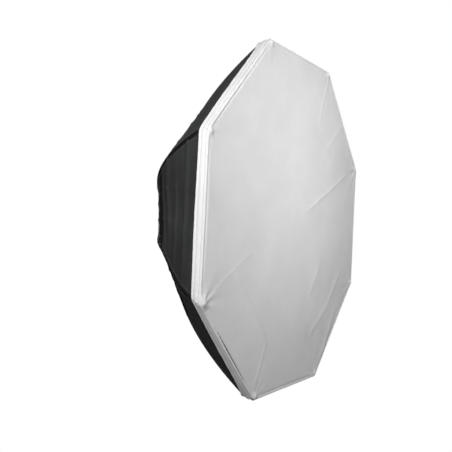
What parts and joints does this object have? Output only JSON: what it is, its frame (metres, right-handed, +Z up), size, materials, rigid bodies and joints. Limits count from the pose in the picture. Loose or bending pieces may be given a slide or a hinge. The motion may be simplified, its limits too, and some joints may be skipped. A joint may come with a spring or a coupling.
{
  "type": "studio softbox",
  "caption": "Eight-sided cloth studio softbox on sprung rods, with a white front diffuser, an inner baffle and a rotating bayonet speed ring.",
  "frame": {"origin": "centre of the bayonet adapter's seat face, the flat ring that rests on the flash head", "axes": "+Y along the optical axis out of the back towards the flash head, light leaves towards -Y, +Z up; the shell's flat sides face +X, -X, +Z and -Z"},
  "size_m": [0.878, 0.4009, 0.878],
  "materials": {
    "adapter_alloy": "turned and bead blasted",
    "ring_paint": "black powder coat",
    "steel": "zinc plated",
    "rod_steel": "drawn spring steel",
    "brass": "plain",
    "knob_plastic": "moulded, fine grain",
    "cap_plastic": "moulded",
    "shell_cloth": "woven black nylon, coated silver inside",
    "band_cloth": "woven webbing and loop tape",
    "diffuser_cloth": "white ripstop nylon",
    "baffle_cloth": "white thin nylon"
  },
  "bodies": {
    "mount": {"bayonet_adapter": "adapter_alloy"},
    "shell": {"speedring": "ring_paint", "retainer_plate": "steel", "retainer_screw_1": "steel", "retainer_screw_2": "steel", "retainer_screw_3": "steel", "retainer_screw_4": "steel", "rod_socket_1": "steel", "rod_1": "rod_steel", "rod_cap_1": "cap_plastic", "shell_gore_1": "shell_cloth", "baffle_strap_1": "band_cloth", "rod_socket_2": "steel", "rod_2": "rod_steel", "rod_cap_2": "cap_plastic", "shell_gore_2": "shell_cloth", "baffle_strap_2": "band_cloth", "rod_socket_3": "steel", "rod_3": "rod_steel", "rod_cap_3": "cap_plastic", "shell_gore_3": "shell_cloth", "baffle_strap_3": "band_cloth", "rod_socket_4": "steel", "rod_4": "rod_steel", "rod_cap_4": "cap_plastic", "shell_gore_4": "shell_cloth", "baffle_strap_4": "band_cloth", "rod_socket_5": "steel", "rod_5": "rod_steel", "rod_cap_5": "cap_plastic", "shell_gore_5": "shell_cloth", "baffle_strap_5": "band_cloth", "rod_socket_6": "steel", "rod_6": "rod_steel", "rod_cap_6": "cap_plastic", "shell_gore_6": "shell_cloth", "baffle_strap_6": "band_cloth", "rod_socket_7": "steel", "rod_7": "rod_steel", "rod_cap_7": "cap_plastic", "shell_gore_7": "shell_cloth", "baffle_strap_7": "band_cloth", "rod_socket_8": "steel", "rod_8": "rod_steel", "rod_cap_8": "cap_plastic", "shell_gore_8": "shell_cloth", "baffle_strap_8": "band_cloth", "rear_collar": "shell_cloth", "rim_band": "band_cloth"},
    "lock_shoe_1": {"lock_shoe_1": "brass"},
    "lock_screw_1": {"lock_stud_1": "steel", "lock_knob_1": "knob_plastic"},
    "lock_shoe_2": {"lock_shoe_2": "brass"},
    "lock_screw_2": {"lock_stud_2": "steel", "lock_knob_2": "knob_plastic"},
    "diffuser": {"front_diffuser": "diffuser_cloth", "diffuser_hem": "diffuser_cloth"},
    "baffle": {"inner_baffle": "baffle_cloth"}
  },
  "joints": [
    {"name": "ring_swivel", "type": "hinge", "parent": "mount", "child": "shell", "pos_m": [0, 0, 0], "axis": [0, 1, 0], "continuous": true},
    {"name": "lock_1_travel", "type": "slide", "parent": "shell", "child": "lock_shoe_1", "axis": [0, 0, 1], "range_m": [0, 0.00205]},
    {"name": "lock_1_turn", "type": "hinge", "parent": "lock_shoe_1", "child": "lock_screw_1", "pos_m": [0, -0.011, 0.08], "axis": [0, 0, 1], "range_deg": [0, 720]},
    {"name": "lock_2_travel", "type": "slide", "parent": "shell", "child": "lock_shoe_2", "axis": [0, 0, -1], "range_m": [0, 0.00205]},
    {"name": "lock_2_turn", "type": "hinge", "parent": "lock_shoe_2", "child": "lock_screw_2", "pos_m": [0, -0.011, -0.08], "axis": [0, 0, -1], "range_deg": [0, 720]},
    {"name": "diffuser_off", "type": "slide", "parent": "shell", "child": "diffuser", "axis": [0, -1, 0], "range_m": [0, 0.25]},
    {"name": "baffle_off", "type": "slide", "parent": "shell", "child": "baffle", "axis": [0, -1, 0], "range_m": [0, 0.12]}
  ],
  "couplings": [
    {"joint": "lock_1_travel", "follows": "lock_1_turn", "m_per_rad": 0.00015915},
    {"joint": "lock_2_travel", "follows": "lock_2_turn", "m_per_rad": 0.00015915}
  ]
}
